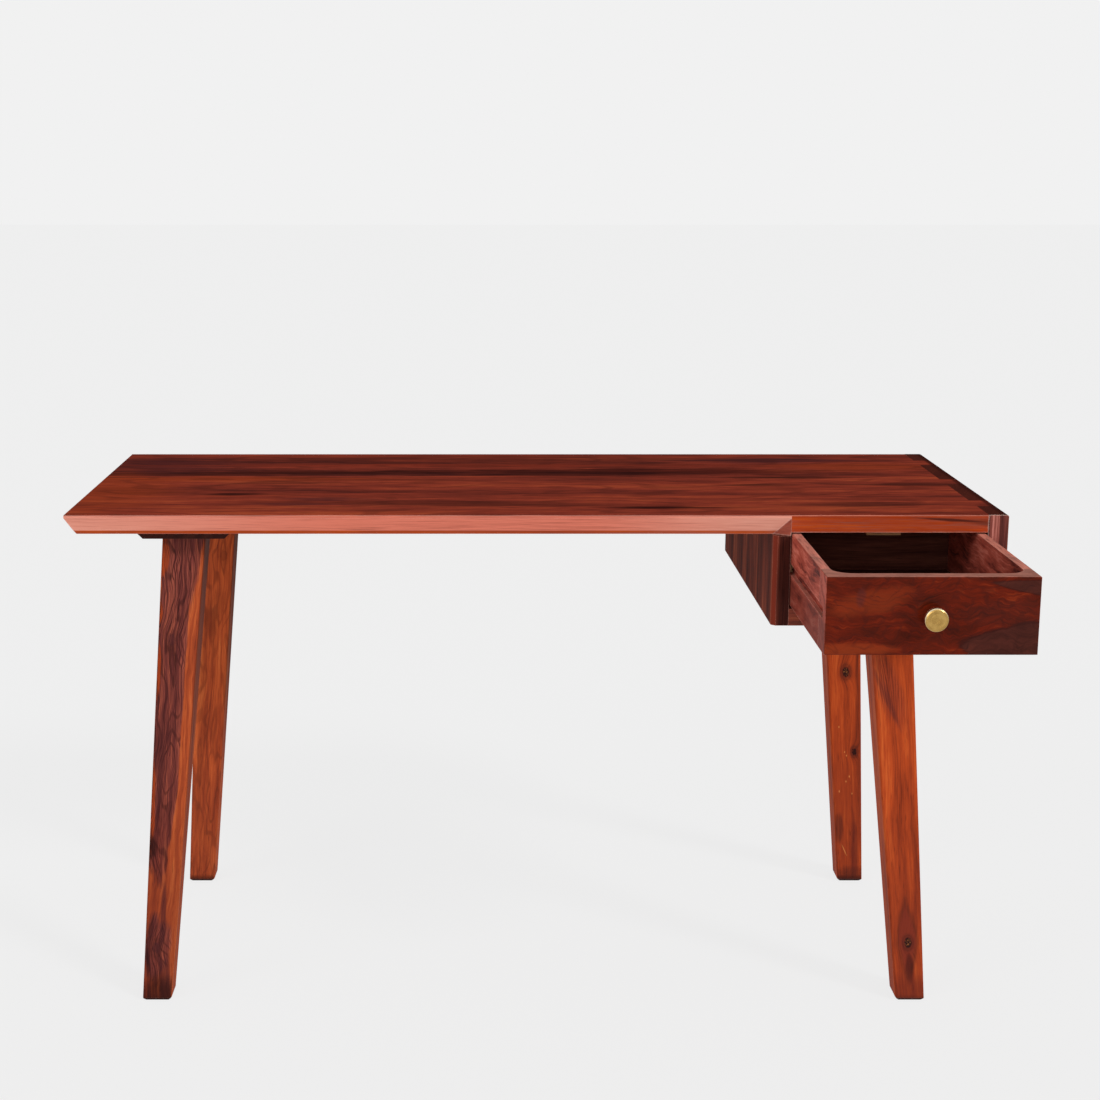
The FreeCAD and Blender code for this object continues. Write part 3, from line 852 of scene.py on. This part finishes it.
@dataclass
class Top:
    """The desktop slab and the drawer case under its right end."""

    bevel_knee: float = 0.0255
    knee_fade: float = 0.0006
    bevel_facing: Point = (0.0, -0.876, -0.482)
    end_bevel_facing: Point = (-0.876, 0.0, -0.482)
    stop_facing: Point = (-0.7, -0.6, -0.35)
    stop_start: float = 0.30
    stop_lap: float = 0.001
    strip_fade: float = 0.0004
    # Where the painted reflection on the front under-bevel grows paler towards the left and right ends, and
    # how softly
    pale_left: float = -0.50
    pale_left_fade: float = 0.24
    pale_right: float = 0.22
    pale_right_fade: float = 0.16
    arris_line: float = 0.0014
    arris_fade: float = 0.0007
    round_facing: Point = (0.45, 0.0, 0.9)
    edge_round: float = 0.013
    round_fade: float = 0.003
    round_limit: float = 0.85
    back_seam: float = 0.207
    middle_seam: float = 0.315
    chamfer: float = 0.008
    chamfer_facing: Point = (-0.7, -0.7, 0.0)

    def dress(self) -> None:
        """Finish the slab and the case."""
        self.dress_slab()
        self.dress_walls()
        floor = corner_frame("carcass_bottom", X_AXIS, Y_AXIS)
        dress("carcass_bottom", Wood("sheesham_case_bottom", floor, Palette.CASE))
        back = corner_frame("carcass_back", X_AXIS, Z_AXIS)
        dress("carcass_back", Wood("dark_case_back", back, Palette.DARK, wear_and_highlight=0.1))
        for node in ("divider_tenons", "carcass_bottom_tenons", "drawer_stop"):
            dress_bare(node)
        for node in ("runner_left", "runner_right"):
            dress_bare(node, Y_AXIS)
        dress("drawer_stop_screw", zinc("stop_screw", ORIGIN, Z_AXIS))

    @staticmethod
    def streaks() -> tuple[Patch, ...]:
        """Find the dark and orange streaks of the desktop.

        Returns:
            Long ragged patches on its face, and two flames on the strip over the drawer.
        """
        rows = (
            (0.14, 0.246, 0.4, 0.034, Tone.INK, 0.72, 0.02),
            (-0.42, 0.236, 0.34, 0.018, Tone.COCOA, 0.68, 0.05),
            (-0.62, 0.31, 0.16, 0.08, Tone.HEART, 0.6),
            (0.4, 0.36, 0.17, 0.03, Tone.HEART, 0.85),
            (-0.1, 0.375, 0.5, 0.036, Tone.UMBER, 0.5),
            (0.42, 0.192, 0.1, 0.014, Tone.UMBER, 0.9),
            (0.36, 0.122, 0.07, 0.012, Tone.UMBER, 0.8),
            (-0.462, 0.04, 0.046, 0.011, Tone.INK, 0.85),
            (-0.4, 0.145, 0.095, 0.02, Tone.UMBER, 0.5),
            (-0.12, -0.04, 0.27, 0.022, Tone.UMBER, 0.6, -0.05),
            (-0.309, 0.0, 0.08, 0.014, Tone.HEART, 0.7),
            (-0.35, -0.041, 0.07, 0.012, Tone.HEART, 0.6),
            (0.19, -0.07, 0.08, 0.013, Tone.INK, 0.85),
            (0.48, -0.045, 0.1, 0.024, Tone.UMBER, 0.7),
            (0.63, 0.125, 0.12, 0.016, Tone.UMBER, 0.8),
            (-0.5, 0.18, 0.28, 0.022, Tone.ORANGE, 0.45),
            (-0.1, 0.312, 0.6, 0.014, Tone.RED, 0.7),
            (-0.66, 0.05, 0.1, 0.18, Tone.ORANGE, 0.4),
            (0.55, 0.3, 0.15, 0.04, Tone.ORANGE, 0.4),
        )
        upper = Patch(0.60, -0.0075, 0.05, 0.0022, Tone.UMBER, 0.9, -0.06, 0.6, 1.0, taper=1.2, on_edge=True)
        lower = Patch(0.652, -0.012, 0.030, 0.0050, Tone.UMBER, 0.6, -0.10, 0.8, taper=1.2, on_edge=True)
        return tuple(Patch(*row, soft=0.7, ragged=2.6, taper=1.2) for row in rows) + (upper, lower)

    def slab_tints(self) -> tuple[Tint, ...]:
        """Find the tones of the slab's edges.

        Returns:
            Under-bevels paled by a painted reflection of the floor, the orange chamfer and strip, the
            bevel's stop, and the dark rounded end.
        """
        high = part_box("desktop")[1]
        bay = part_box("divider_panel")[1].x
        front = self.bevel_facing
        knee, arris = high.z - self.bevel_knee, high.z - self.arris_line
        return (
            # Painted reflection of the pale floor on the under-bevels: rose along them, paler towards both
            # ends of the front
            Tint(front, Tone.ROSE, 0.92, X_AXIS, high=bay),
            Tint(self.end_bevel_facing, Tone.ROSE, 0.96, X_AXIS, high=bay),
            Tint(front, Tone.BLUSH, 0.60, X_AXIS, high=self.pale_left, soft=self.pale_left_fade),
            Tint(front, Tone.BLUSH, 0.90, X_AXIS, low=self.pale_right, soft=self.pale_right_fade),
            Tint(front, Palette.EDGE, 1.0, high=knee, soft=self.knee_fade),
            Tint(FRONT, Palette.STRIP, 1.0, X_AXIS, low=bay, soft=self.strip_fade),
            Tint(self.stop_facing, Tone.DUSK, 0.9, X_AXIS, self.stop_start, bay + self.stop_lap),
            # Pale line along the top arris over the drawer: wear and a painted highlight
            Tint(FRONT, Tone.BLUSH, 0.6, low=arris, soft=self.arris_fade),
            self.rounded_tint(high.x, 0.75),
        )

    def rounded_tint(self, end: float, strength: float) -> Tint:
        """Dark tone of the rounded right edge."""
        span = {"low": end - self.edge_round, "soft": self.round_fade, "limit": self.round_limit}
        return Tint(self.round_facing, Tone.COCOA, strength, X_AXIS, **span)

    def dress_slab(self) -> None:
        """Finish the slab: three boards, dark streaks, under-bevel paled by a painted reflection, orange
        strip over the drawer.
        """
        low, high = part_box("desktop")
        dress("desktop", Wood(
            "sheesham_desktop", GrainFrame((0.0, 0.0, high.z), X_AXIS, Y_AXIS), Palette.TOP,
            streak_along=3.6, streak_across=44.0, streak=1.1, broad=1.2, fine=1.5, pore=0.6,
            through_gain=2.6, wander=0.036, wander_along=2.0, ragged_along=8.0, ragged_across=90.0,
            patches=self.streaks(),
            boards=(Board(low.y, 0.56), Board(self.back_seam, 0.40), Board(self.middle_seam, 0.46)),
            lines=(Lines(2.2, 9.0, 9.0, 12.0, 0.30, Tone.UMBER, low=0.5),),
            tints=self.slab_tints(),
            top_coat=0.0, wear_and_highlight=0.6, wear_and_highlight_width=0.0028, wear_and_highlight_full=0.10, wear_and_highlight_tone=Tone.CHALK,
            wear_and_highlight_facing=FRONT,
        ))

    def dress_walls(self) -> None:
        """Finish the two walls of the drawer case."""
        low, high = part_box("end_panel")
        dress("end_panel", Wood(
            "sheesham_end_panel",
            GrainFrame(((low.x + high.x) / 2, low.y, low.z), Z_AXIS, Y_AXIS), Palette.CASE,
            streak_across=60.0, streak=2.2, through_gain=2.5, end_grain=0.15,
            tints=(
                # Painted sheen: the front face paler and pinker than the rest of the panel
                Tint(FRONT, Palette.STAVE, 1.0),
                Tint(Z_AXIS, Tone.UMBER, 0.85),
                self.rounded_tint(high.x, 0.6),
            ),
            top_coat=0.0, wear_and_highlight=0.9, wear_and_highlight_width=0.003, wear_and_highlight_tone=Tone.CHALK, wear_and_highlight_facing=FRONT,
        ))
        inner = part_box("divider_panel")[0].x + self.chamfer
        dress("divider_panel", Wood(
            "sheesham_divider", corner_frame("divider_panel", Z_AXIS, Y_AXIS), Palette.CASE,
            streak_along=1.5, streak_across=22.0, streak=2.6, broad=1.6, coat=0.03, wear_and_highlight=0.8,
            tints=(
                # Painted shadow of the drawer on the divider's front face, right of its chamfer
                Tint(FRONT, Tone.COCOA, 0.85, X_AXIS, low=inner, soft=self.round_fade),
                Tint(self.chamfer_facing, Tone.RED, 0.8),
            ),
        ))


@dataclass
class Knob:
    """The turned brass knob: a disc with a rounded rim on a waisted neck."""

    rim_radius: float = 0.0032
    back_radius: float = 0.0016
    disc_thickness: float = 0.009
    neck_radius: float = 0.0052
    foot_radius: float = 0.0085
    foot_height: float = 0.0025
    ring_radius: float = 0.0085
    ring_half_width: float = 0.0008
    ring_depth: float = 0.00014
    button_radius: float = 0.0030
    button_edge: float = 0.0007
    dimple_share: float = 0.6
    roughness: float = 0.28
    segments: int = 96
    arc_steps: int = 8

    def arc(self, centre: Span, radii: Span, start: float, end: float) -> list[Span]:
        """Points of an arc in the profile.

        Args:
            centre: Radius and height of its centre.
            radii: How far it reaches out and up from there.
            start: First angle, in degrees.
            end: Last angle, in degrees.

        Returns:
            The points in order.
        """
        points = []
        for step in range(self.arc_steps + 1):
            angle = math.radians(start + (end - start) * step / self.arc_steps)
            points.append((centre[0] + radii[0] * math.cos(angle), centre[1] + radii[1] * math.sin(angle)))
        return points

    def profile(self, radius: float, projection: float) -> list[Span]:
        """Radius and height of the turned outline, from its foot to the middle of its face.

        Args:
            radius: Radius of the disc.
            projection: Height of the face over the drawer.

        Returns:
            The outline's points.
        """
        back = projection - self.disc_thickness
        waist = (self.foot_radius, (self.foot_height + back) / 2)
        hollow = (self.neck_radius - self.foot_radius, (back - self.foot_height) / 2)
        rim_back = (radius - self.back_radius, back + self.back_radius)
        rim_front = (radius - self.rim_radius, projection - self.rim_radius)
        groove = projection - self.ring_depth
        return [
            (0.0, 0.0),
            (self.foot_radius, 0.0),
            *self.arc(waist, hollow, -90, 90),
            *self.arc(rim_back, (self.back_radius, self.back_radius), -90, 0),
            *self.arc(rim_front, (self.rim_radius, self.rim_radius), 0, 90),
            (self.ring_radius + self.ring_half_width, projection),
            (self.ring_radius, groove),
            (self.ring_radius - self.ring_half_width, projection),
            (self.button_radius, projection),
            (self.button_radius - self.button_edge, groove),
            (0.0, projection - self.ring_depth * self.dimple_share),
        ]

    def turn(self, outline: list[Span], centre: Vector) -> bmesh.types.BMesh:
        """Turn the outline about the knob's axis.

        Args:
            outline: Radius and height of each point, from foot to face.
            centre: Middle of the foot.

        Returns:
            The turned shape.
        """
        shape = bmesh.new()
        angles = [2 * math.pi * step / self.segments for step in range(self.segments)]
        spokes = [Vector((math.cos(angle), 0.0, math.sin(angle))) for angle in angles]
        rings = []
        for radius, height in outline:
            middle = centre - Vector((0.0, height, 0.0))
            places = [middle + radius * spoke for spoke in spokes] if radius else [middle]
            rings.append([shape.verts.new(place) for place in places])
        for lower, upper in zip(rings, rings[1:]):
            for step in range(self.segments):
                after = (step + 1) % self.segments
                corners = [lower[step % len(lower)], lower[after % len(lower)]]
                corners += [upper[after % len(upper)], upper[step % len(upper)]]
                shape.faces.new(list(dict.fromkeys(corners)))
        bmesh.ops.recalc_face_normals(shape, faces=shape.faces)
        for face in shape.faces:
            face.smooth = True
        return shape

    def build(self) -> None:
        """Turn the knob, seat it on the drawer front and finish it."""
        low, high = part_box("knob")
        centre = Vector(((low.x + high.x) / 2, high.y, (low.z + high.z) / 2))
        radius = (high.x - low.x) / 2
        knob = place_mesh("brass_knob", self.turn(self.profile(radius, high.y - low.y), centre))
        brass = Metal("turned_brass", Alloy.BRASS, self.roughness, tuple(centre), Y_AXIS, rim=radius)
        knob.data.materials.append(brass.build())
        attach(knob, "drawer")
        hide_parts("knob")
        LOG.info("turned %s", knob.name)


@dataclass
class Drawer:
    """The drawer: scooped front, two grooved sides, back, bottom and knob."""

    knob: Knob = field(default_factory=Knob)
    # The painted shade on the side faces lies below this drop under the front's middle, and fades in over
    # this width
    groove_drop: float = 0.010
    groove_fade: float = 0.004
    arris: float = 0.0024
    face_limit: float = 0.8

    def dress(self) -> None:
        """Finish the boards and turn the knob."""
        low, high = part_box("drawer_front")
        groove = (low.z + high.z) / 2 - self.groove_drop
        lower = {"high": groove, "soft": self.groove_fade, "limit": self.face_limit}
        # Painted highlight on the upward faces of the drawer's boards
        rim = (Tint(Z_AXIS, Tone.BLUSH, 0.34, limit=self.face_limit),)
        ends = tuple(Tint(side, Palette.SIDE, 1.0, limit=self.face_limit) for side in SIDES)
        # Painted shade on the side faces below the groove
        shade = tuple(Tint(side, Tone.UMBER, 0.42, **lower) for side in SIDES)
        self.dress_front(rim + ends + shade)
        for node in ("drawer_side_left", "drawer_side_right"):
            dress(node, Wood(
                "sheesham_" + node, corner_frame(node, Y_AXIS, Z_AXIS), Palette.SIDE,
                streak_along=12.0, streak_across=60.0, streak=2.4, wander=0.040, wander_along=8.0,
                mottle=0.8, coat=0.06, tints=rim + shade, wear_and_highlight=0.9, wear_and_highlight_width=self.arris,
            ))
        for node, across in (("drawer_back", Z_AXIS), ("drawer_bottom", Y_AXIS)):
            dress(node, Wood("inner_" + node, corner_frame(node, X_AXIS, across), Palette.INNER, wear_and_highlight=0.1))
        dress_bare("drawer_front_tenons", Y_AXIS)
        dress("knob_screw", zinc("knob_screw", tuple(low), Y_AXIS))
        self.knob.build()

    def dress_front(self, tints: tuple[Tint, ...]) -> None:
        """Finish the front: burr wood with a dark mound low down and a flat one under its rim.

        Args:
            tints: Tones of its rim and ends, with a painted highlight on the rim and a painted shade low on
                the ends.
        """
        figure = (
            Patch(0.290, 0.0045, 0.116, 0.0420, Tone.COCOA, 0.8, -0.08, 0.08, 0.3, taper=1.35),
            Patch(0.292, 0.003, 0.112, 0.040, Palette.MOUND, 1.3, -0.08, 0.05, 0.3, taper=1.35),
            Patch(0.290, 0.0900, 0.074, 0.0112, Tone.COCOA, 0.7, -0.11, 0.10, 0.3, taper=1.3),
            Patch(0.291, 0.0900, 0.070, 0.0098, Palette.MOUND, 1.2, -0.11, 0.08, 0.3, taper=1.3),
            Patch(0.250, 0.056, 0.060, 0.020, Tone.UMBER, 0.30, soft=0.9),
            Patch(0.060, 0.072, 0.050, 0.016, Tone.ORANGE, 0.30, 0.2, 0.9),
            Patch(0.030, 0.008, 0.060, 0.008, Tone.ORANGE, 0.45, soft=0.8),
            Patch(0.046, 0.078, 0.006, 0.012, Tone.HEART, 0.45, 0.3, 0.9),
        )
        dress("drawer_front", Wood(
            "sheesham_drawer_front", corner_frame("drawer_front", X_AXIS, Z_AXIS), Palette.BURR,
            streak_along=26.0, streak=1.1, broad=0.3, wander=0.050, wander_along=18.0, wander_across=20.0,
            mottle=0.7, fine=0.9, ragged_along=30.0, patches=figure,
            lines=(Lines(14.0, 26.0, 8.0, 20.0, 0.25, Tone.COCOA, low=0.4),),
            tints=tints, wear_and_highlight=1.0, wear_and_highlight_width=self.arris,
        ))


@dataclass
class Legs:
    """Four tapered, splayed legs and the cleats that carry them."""

    foot_half: float = 0.022
    top_half: float = 0.032
    shadow: Tint = Tint(X_AXIS, Tone.COCOA, 0.65, low=0.42, soft=0.25, limit=0.8)
    # Darker at the foot: low on the front faces and on the eased soles
    darker_foot: tuple[Tint, ...] = (
        Tint(FRONT, Tone.COCOA, 0.7, high=0.006, soft=0.006, limit=0.5),
        Tint((0.0, -0.4, -0.9), Tone.COCOA, 0.7, high=0.012, soft=0.004, limit=0.5),
    )

    def frame(self, node: str) -> GrainFrame:
        """Grain from the middle of a leg's foot up its length.

        Args:
            node: Name of the leg.

        Returns:
            The leg's grain frame, with its show face across X.
        """
        low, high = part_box(node)
        outward = 1.0 if low.x + high.x > 0 else -1.0
        outer, inner = (high.x, low.x) if outward > 0 else (low.x, high.x)
        forward = -1.0 if "front" in node else 1.0
        near, far = (low.y, high.y) if forward < 0 else (high.y, low.y)
        foot = Vector((outer - outward * self.foot_half, near - forward * self.foot_half, low.z))
        top = Vector((inner + outward * self.top_half, far + forward * self.top_half, high.z))
        along = (top - foot).normalized()
        across = (Vector(X_AXIS) - along * along.x).normalized()
        return GrainFrame(tuple(foot), tuple(along), tuple(across))

    def dress(self) -> None:
        """Finish the legs, the cleats and their screws."""
        self.dress_left()
        self.dress_right()
        for node in ("leg_cleat_left", "leg_cleat_right"):
            dress(node, Wood("dark_" + node, corner_frame(node, Y_AXIS, X_AXIS), Palette.DARK, wear_and_highlight=0.1))
        dress("cleat_screws", zinc("cleat_screws", ORIGIN, Z_AXIS))

    def dress_leg(self, node: str, palette: Palette, **figure: Any) -> None:
        """Finish one leg."""
        dress(node, Wood("sheesham_" + node, self.frame(node), palette, **figure))

    def dress_left(self) -> None:
        """Finish the left pair: dark lined heartwood in front, plain brown behind."""
        sapwood = (
            (0.690, -0.033, 0.034, 0.016),
            (0.605, -0.032, 0.020, 0.008),
            (0.510, -0.031, 0.052, 0.009),
            (0.30, -0.030, 0.09, 0.011),
        )
        shaded = (self.shadow,) + self.darker_foot
        self.dress_leg(
            "leg_front_left", Palette.LEG_BROWN,
            patches=(
                Patch(
                    0.480, -0.009, 0.290, 0.0225, Palette.HEART, 1.0, 0.006, 0.14, 1.2, lined=True, taper=3.0
                ),
                Patch(0.770, 0.000, 0.170, 0.036, Palette.HEART, 1.0, 0.0, 0.12, 1.0, lined=True, taper=1.5),
                *(Patch(*row, Tone.ORANGE, 0.9, soft=0.2) for row in sapwood),
                Patch(0.08, 0.000, 0.20, 0.040, Tone.CLARET, 0.45, soft=0.9),
                Patch(0.24, -0.024, 0.018, 0.010, Tone.INK, 0.75, soft=0.6),
                Patch(0.080, -0.005, 0.048, 0.020, Palette.HEART, 0.95, ragged=2.6, lined=True),
                Patch(0.133, 0.002, 0.050, 0.004, Tone.HEART, 0.6, soft=0.6),
                Patch(0.02, 0.012, 0.050, 0.008, Tone.HEART, 0.7, soft=0.6),
                Patch(0.006, 0.006, 0.034, 0.028, Tone.COCOA, 0.8, soft=0.8),
            ),
            knots=(
                Knot(0.563, -0.008, 0.006, 3.4, Tone.HEART, 0.45),
                Knot(0.083, -0.006, 0.006, 3.4, Tone.HEART, 0.5),
                Knot(0.245, -0.026, 0.006, 3.4, Tone.INK, 0.5),
            ),
            lines=(
                Lines(7.0, 24.0, 12.0, 120.0, 0.44, Tone.INK, low=0.35, high=1.0),
                Lines(22.0, 90.0, 5.0, 430.0, 0.50, Tone.INK, low=0.15, high=1.0),
            ),
            streak_across=130.0, wander=0.030, wander_along=6.0, coat=0.06, tints=shaded,
        )
        self.dress_leg(
            "leg_back_left", Palette.LEG_PALE,
            patches=(
                Patch(0.51, 0.004, 0.040, 0.014, Tone.UMBER, 0.22, 0.2, 0.8),
                Patch(0.30, -0.012, 0.20, 0.006, Tone.UMBER, 0.25, soft=0.8),
                Patch(0.0, 0.0, 0.20, 0.060, Tone.CLARET, 0.40, soft=0.9),
            ),
            knots=(Knot(0.613, 0.014, 0.006, 3.6, Tone.UMBER, 0.25),),
            lines=(Lines(7.0, 30.0, 8.0, 40.0, 0.30, Tone.UMBER, low=0.4),),
            wander=0.030, coat=0.06, tints=shaded,
        )

    def dress_right(self) -> None:
        """Finish the right pair: orange wood with knots, lines in front and pale specks behind."""
        specks = (
            (0.300, -0.012, 0.0020, 0.0010, Tone.SPECK, 0.8),
            (0.252, -0.003, 0.0019, 0.0010, Tone.SPECK, 0.7),
            (0.245, 0.000, 0.0019, 0.0010, Tone.SPECK, 0.7),
            (0.205, 0.004, 0.0020, 0.0010, Tone.SPECK, 0.7),
            (0.196, -0.002, 0.0018, 0.0009, Tone.SPECK, 0.7),
            (0.178, -0.014, 0.0022, 0.0010, Tone.SPECK, 0.8),
            (0.172, 0.008, 0.0018, 0.0009, Tone.SPECK, 0.7),
        )
        # Darker towards the foot
        darker_low_end = Patch(0.0, 0.0, 0.24, 0.070, Tone.CLARET, 0.40, soft=0.9)
        self.dress_leg(
            "leg_front_right", Palette.LEG,
            patches=(
                Patch(0.495, -0.012, 0.060, 0.018, Palette.HEART, 0.30, -0.30, 0.9, 1.2, lined=True),
                darker_low_end,
                Patch(0.485, -0.018, 0.044, 0.0035, Tone.HEART, 0.42, -0.36, 0.9),
                Patch(0.470, -0.008, 0.044, 0.0025, Tone.HEART, 0.36, -0.30, 0.9),
                Patch(0.092, 0.000, 0.066, 0.0165, Tone.UMBER, 0.6, 0.0, 0.25, 0.8, taper=1.3),
                Patch(0.094, 0.000, 0.052, 0.0125, Tone.RED, 0.8, 0.0, 0.3, 0.8, taper=1.3),
                Patch(0.050, 0.002, 0.022, 0.006, Tone.INK, 0.55, soft=0.7),
                Patch(0.012, 0.0, 0.030, 0.030, Tone.CLARET, 0.6, soft=0.9),
            ),
            knots=(Knot(0.0915, 0.001, 0.0050, 2.8, Tone.INK, 0.95, Tone.SPECK),),
            lines=(Lines(12.0, 60.0, 5.0, 280.0, 0.5, Tone.INK, low=0.2),),
            tints=self.darker_foot,
        )
        self.dress_leg(
            "leg_back_right", Palette.LEG,
            patches=(
                darker_low_end,
                Patch(0.104, -0.016, 0.026, 0.007, Tone.UMBER, 0.65, 0.0, 0.8, 2.6),
                Patch(0.06, 0.010, 0.060, 0.006, Tone.CLARET, 0.7, soft=0.8),
                Patch(0.25, 0.022, 0.20, 0.005, Tone.UMBER, 0.25, soft=0.8),
                Patch(0.010, 0.0, 0.020, 0.030, Tone.UMBER, 0.6, soft=0.9),
                *(Patch(*row, soft=0.6) for row in specks),
                Patch(0.064, -0.008, 0.0110, 0.0009, Tone.SPECK, 0.6, -0.35, 0.7),
            ),
            knots=(
                Knot(0.401, 0.002, 0.0060, 2.4, Tone.INK, 0.95, Tone.SPECK),
                Knot(0.251, 0.0135, 0.0044, 2.2, Tone.INK, 0.95, Tone.ORANGE),
            ),
            streak_along=2.5, tints=self.darker_foot,
        )


@dataclass(frozen=True)
class Lamp:
    """A broad lamp: the direction from the table to it, its irradiance, and the degrees that it fills."""

    name: str
    towards: Point
    strength: float
    softness: float

    def build(self) -> None:
        """Hang the lamp."""
        light = bpy.data.lights.new(self.name, "SUN")
        light.energy = self.strength
        light.angle = math.radians(self.softness)
        holder = bpy.data.objects.new(self.name, light)
        holder.rotation_euler = Vector(self.towards).to_track_quat("Z", "Y").to_euler()
        bpy.context.scene.collection.objects.link(holder)


@dataclass
class Studio:
    """Pale floor, even light and the camera at the photograph's angle."""

    camera_place: Point = (-0.0840, -2.8418, 1.2821)
    pitch_down: float = 11.9
    lens: float = 62.54
    sensor: float = 36.0
    shift_x: float = 0.0648
    floor_half: float = 30.0
    floor_squares: int = 4
    floor_tone: Colour = srgb(236, 236, 236)
    backdrop: Colour = srgb(241, 241, 241)
    white: Colour = (1.0, 1.0, 1.0, 1.0)
    ambient: float = 0.46
    floor_glow: float = 0.90
    lamps: tuple[Lamp, ...] = (
        Lamp("key", (0.75, -0.65, 0.62), 1.5, 12.0),
        Lamp("fill", (-0.80, -0.70, 0.55), 0.5, 30.0),
        Lamp("front", (-0.20, -1.00, 0.12), 0.75, 30.0),
    )

    def build(self) -> None:
        """Make the floor, world, lamps and camera."""
        self.make_floor()
        self.make_world()
        for lamp in self.lamps:
            lamp.build()
        self.make_camera()
        bpy.context.scene.view_settings.view_transform = "Standard"

    @staticmethod
    def seen(graph: Graph) -> Sock:
        """Find the rays that show the background.

        Args:
            graph: Node tree of the floor or the world.

        Returns:
            One for rays from the camera, or by gloss or glass.
        """
        rays = ("Is Camera Ray", "Is Glossy Ray", "Is Transmission Ray")
        camera, gloss, glass = (graph.add("ShaderNodeLightPath", {}, {}, ray) for ray in rays)
        return camera.at_least(gloss).at_least(glass)

    def make_floor(self) -> None:
        """Lay the pale floor, which keeps a soft shadow of the table."""
        shape = bmesh.new()
        squares = self.floor_squares
        bmesh.ops.create_grid(shape, x_segments=squares, y_segments=squares, size=self.floor_half)
        floor = place_mesh("floor", shape)
        material, graph = new_material("pale_floor")
        matt = graph.add("ShaderNodeBsdfDiffuse", {}, {"Color": self.floor_tone})
        glow = graph.add("ShaderNodeEmission", {}, {"Color": self.backdrop, "Strength": 1.0})
        share = self.seen(graph) * self.floor_glow
        surface = graph.add("ShaderNodeMixShader", {}, {0: share, 1: matt, 2: glow})
        graph.add("ShaderNodeOutputMaterial", {}, {"Surface": surface})
        floor.data.materials.append(material)

    def make_world(self) -> None:
        """Even light from all sides, seen as the pale backdrop."""
        world = bpy.data.worlds.new("studio")
        world.use_nodes = True
        bpy.context.scene.world = world
        graph = Graph(world.node_tree)
        light = graph.add("ShaderNodeBackground", {}, {"Color": self.white, "Strength": self.ambient})
        shown = graph.add("ShaderNodeBackground", {}, {"Color": self.backdrop, "Strength": 1.0})
        surface = graph.add("ShaderNodeMixShader", {}, {0: self.seen(graph), 1: light, 2: shown})
        graph.add("ShaderNodeOutputWorld", {}, {"Surface": surface})

    def make_camera(self) -> None:
        """Stand the camera where the photograph was taken."""
        lens = bpy.data.cameras.new("camera")
        lens.lens = self.lens
        lens.sensor_width = self.sensor
        lens.shift_x = self.shift_x
        camera = bpy.data.objects.new("camera", lens)
        camera.location = self.camera_place
        camera.rotation_euler = (math.radians(90 - self.pitch_down), 0.0, 0.0)
        bpy.context.scene.collection.objects.link(camera)
        bpy.context.scene.camera = camera


def main() -> None:
    """Load the frame, finish each part of the table and stage it."""
    logging.basicConfig(level=logging.INFO, format="%(name)s: %(message)s")
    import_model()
    Top().dress()
    Drawer().dress()
    Legs().dress()
    Studio().build()


if __name__ == "__main__":
    main()
